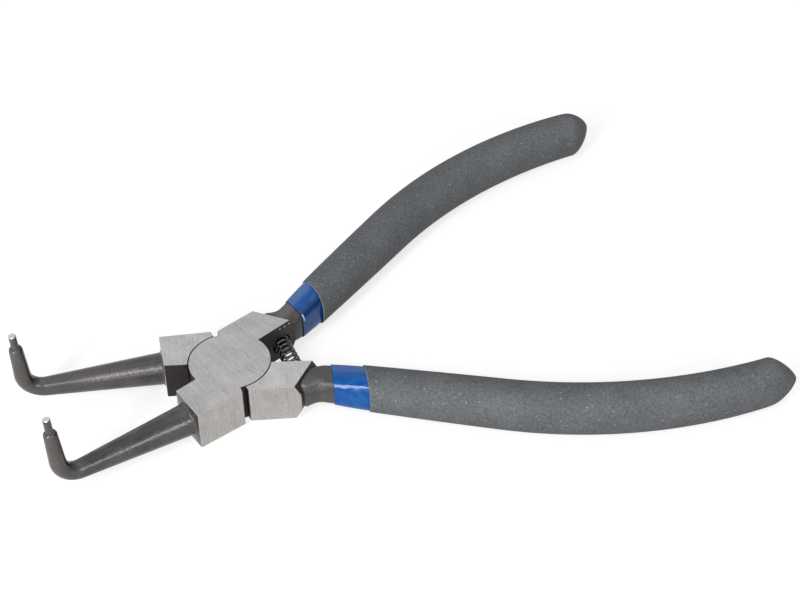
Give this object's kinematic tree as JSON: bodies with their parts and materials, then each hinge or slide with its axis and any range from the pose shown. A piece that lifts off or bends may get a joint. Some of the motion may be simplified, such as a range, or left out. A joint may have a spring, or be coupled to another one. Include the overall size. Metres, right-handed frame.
{
  "type": "circlip pliers",
  "caption": "Spring-opened internal circlip pliers with tapered jaws bent up at a right angle, a flush riveted lap joint and layered soft grips.",
  "frame": {"origin": "on the pivot axis, at the flat underside of the head", "axes": "+X along the tool towards the handles, +Z along the pivot axis, the way the bent tips stand, +Y towards the upper half's handle"},
  "size_m": [0.1664, 0.1148, 0.0232],
  "materials": {
    "forged_steel": "ground bright head, black oxide jaws and shanks",
    "rivet_steel": "ground flush",
    "spring_steel": "black oxide",
    "blue_vinyl": "glossy dipped vinyl",
    "grey_grip": "matte, finely grained, foamed vinyl"
  },
  "bodies": {
    "lower": {"lower_half": "forged_steel", "pivot_rivet": "rivet_steel", "return_spring": "spring_steel", "lower_sleeve": "blue_vinyl", "lower_grip": "grey_grip"},
    "upper": {"upper_half": "forged_steel", "upper_sleeve": "blue_vinyl", "upper_grip": "grey_grip"}
  },
  "joints": [
    {"name": "pivot", "type": "hinge", "parent": "lower", "child": "upper", "pos_m": [0, 0, 0], "axis": [0, 0, 1], "range_deg": [-31, 7], "stiffness_Nm_per_rad": 0.8, "deforming": ["return_spring"]}
  ]
}
